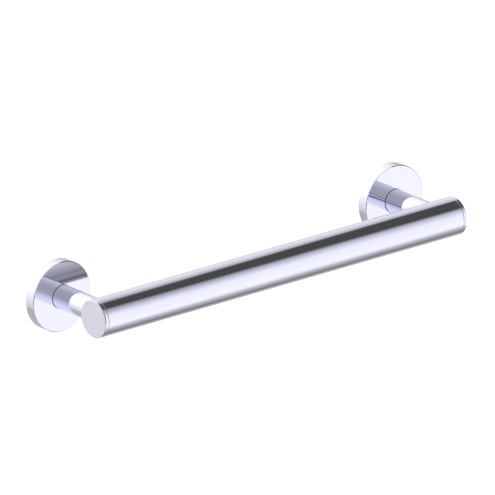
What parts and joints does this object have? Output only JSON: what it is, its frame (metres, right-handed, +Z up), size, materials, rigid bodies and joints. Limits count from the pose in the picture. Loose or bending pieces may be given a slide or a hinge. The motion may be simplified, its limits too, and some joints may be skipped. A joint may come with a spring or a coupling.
{
  "type": "grab bar",
  "caption": "Straight round grab bar in bright chrome on short round posts, with flat round flange covers over screwed wall plates; a fixed hand hold for a shower or bath.",
  "frame": {"origin": "on the wall plane, halfway between the two flanges, level with the bar", "axes": "+X along the bar to the right as seen from the room, +Y into the wall, +Z up; the bar is on the -Y side"},
  "size_m": [0.4116, 0.084, 0.06],
  "materials": {
    "polished_chrome": "mirror-bright chrome plate",
    "plate_steel": "satin stainless steel",
    "fastener_steel": "plain stainless steel",
    "seal_rubber": "black rubber"
  },
  "bodies": {
    "root": {"bar_tube": "polished_chrome", "left_end_cap": "polished_chrome", "left_cap_ring": "seal_rubber", "left_post": "polished_chrome", "left_saddle_washer": "fastener_steel", "left_post_bolt": "fastener_steel", "left_wall_plate": "plate_steel", "left_plate_bolt": "fastener_steel", "left_cover_ring": "seal_rubber", "left_wall_gasket": "seal_rubber", "left_flange_cover": "polished_chrome", "right_end_cap": "polished_chrome", "right_cap_ring": "seal_rubber", "right_post": "polished_chrome", "right_saddle_washer": "fastener_steel", "right_post_bolt": "fastener_steel", "right_wall_plate": "plate_steel", "right_plate_bolt": "fastener_steel", "right_cover_ring": "seal_rubber", "right_wall_gasket": "seal_rubber", "right_flange_cover": "polished_chrome"}
  },
  "joints": []
}
